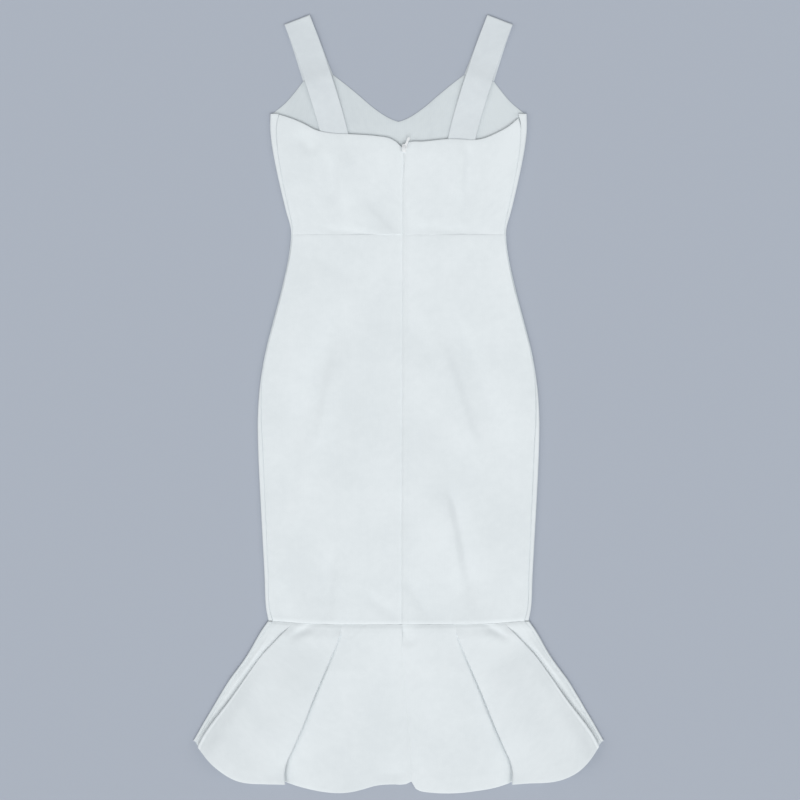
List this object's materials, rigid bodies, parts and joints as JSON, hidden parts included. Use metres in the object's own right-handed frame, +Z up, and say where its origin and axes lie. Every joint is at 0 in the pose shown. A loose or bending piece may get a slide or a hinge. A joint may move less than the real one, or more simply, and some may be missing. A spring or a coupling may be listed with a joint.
{
  "type": "bodycon dress",
  "caption": "Sleeveless fitted midi dress with wide straps, a V front, a centre-back zip and a fluted hem flounce, lying face down and flat.",
  "frame": {"origin": "centre of the bounding box at its base, on the surface that the dress lies on", "axes": "+X towards the wearer's right, +Y from the hem to the straps, +Z up from the surface, out of the back of the dress"},
  "size_m": [0.5758, 1.091, 0.0205],
  "materials": {
    "dress_cloth": "matt white double knit",
    "strap_cloth": "matt white double knit, doubled",
    "zip_tape": "woven white zip tape",
    "zip_enamel": "white enamel, satin"
  },
  "bodies": {
    "dress": {"front_bodice": "dress_cloth", "front_skirt": "dress_cloth", "front_flounce": "dress_cloth", "back_bodice_left": "dress_cloth", "back_bodice_right": "dress_cloth", "back_skirt_left": "dress_cloth", "back_skirt_right": "dress_cloth", "back_flounce_left": "dress_cloth", "back_flounce_right": "dress_cloth", "strap_left": "strap_cloth", "strap_right": "strap_cloth", "zip_tape": "zip_tape", "zip_slider": "zip_enamel"},
    "pull": {"zip_pull": "zip_enamel"}
  },
  "joints": [
    {"name": "pull_flip", "type": "hinge", "parent": "dress", "child": "pull", "pos_m": [0.0082, 0.3575, 0.00905], "axis": [0.9131, -0.4078, 0], "range_deg": [0, 178]}
  ]
}
